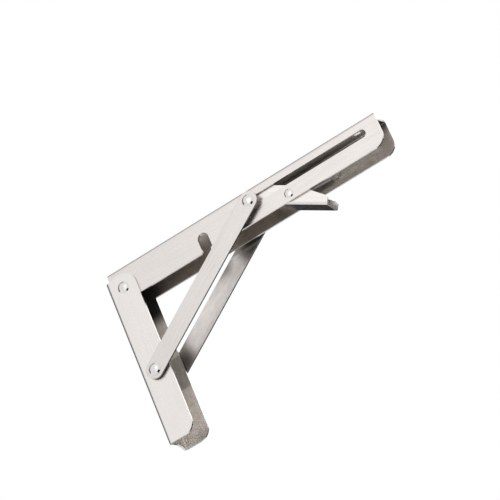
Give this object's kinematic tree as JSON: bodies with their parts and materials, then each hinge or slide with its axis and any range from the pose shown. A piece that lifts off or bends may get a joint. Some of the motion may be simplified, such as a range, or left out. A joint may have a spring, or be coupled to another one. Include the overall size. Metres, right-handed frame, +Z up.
{
  "type": "folding shelf bracket",
  "caption": "Folding stainless shelf bracket: a channel arm hinges on a wall channel, held by side struts that run in a slot, with a sprung release lever under the arm.",
  "frame": {"origin": "middle wall screw, on the wall face, midway across the wall leg", "axes": "+X out from the wall along the opened arm, +Y across to the rear strut, +Z up"},
  "size_m": [0.3, 0.044, 0.18],
  "materials": {
    "leg_steel": "brushed stainless steel, grain along the sheet",
    "arm_steel": "brushed stainless steel, grain along the sheet",
    "strut_steel": "brushed stainless steel, grain along the sheet",
    "rivet_steel": "polished stainless steel",
    "lever_steel": "brushed stainless steel, grain along the sheet",
    "spring_steel": "bright spring wire"
  },
  "bodies": {
    "leg": {"wall_leg": "leg_steel", "hinge_rivet_front": "rivet_steel", "hinge_rivet_rear": "rivet_steel", "foot_rivet_front": "rivet_steel", "foot_rivet_rear": "rivet_steel"},
    "arm": {"shelf_arm": "arm_steel", "lever_pivot_pin": "rivet_steel", "lever_spring": "spring_steel"},
    "struts": {"strut_bar_front": "strut_steel", "strut_bar_rear": "strut_steel", "pin_rivet_front": "rivet_steel", "pin_rivet_rear": "rivet_steel"},
    "slot_pins": {"slot_pin_front": "rivet_steel", "slot_pin_rear": "rivet_steel"},
    "lever": {"release_lever": "lever_steel"}
  },
  "joints": [
    {"name": "arm_fold", "type": "hinge", "parent": "leg", "child": "arm", "pos_m": [0.016, 0, 0.074], "axis": [0, 1, 0], "range_deg": [0, 90]},
    {"name": "strut_swing", "type": "hinge", "parent": "leg", "child": "struts", "pos_m": [0.016, 0, -0.0155], "axis": [0, 1, 0], "range_deg": [0, 121.33]},
    {"name": "pin_slide", "type": "slide", "parent": "arm", "child": "slot_pins", "axis": [1, 0, 0], "range_m": [0, 0.11901]},
    {"name": "lever_release", "type": "hinge", "parent": "arm", "child": "lever", "pos_m": [0.19749, 0, 0.0688], "axis": [0, 1, 0], "range_deg": [-32, 0], "stiffness_Nm_per_rad": 0.2, "springref_deg": 28.65, "deforming": ["lever_spring"]}
  ],
  "couplings": [
    {"joint": "strut_swing", "follows": "arm_fold", "ratio": 1.3476},
    {"joint": "pin_slide", "follows": "arm_fold", "m_per_rad": 0.075638}
  ]
}
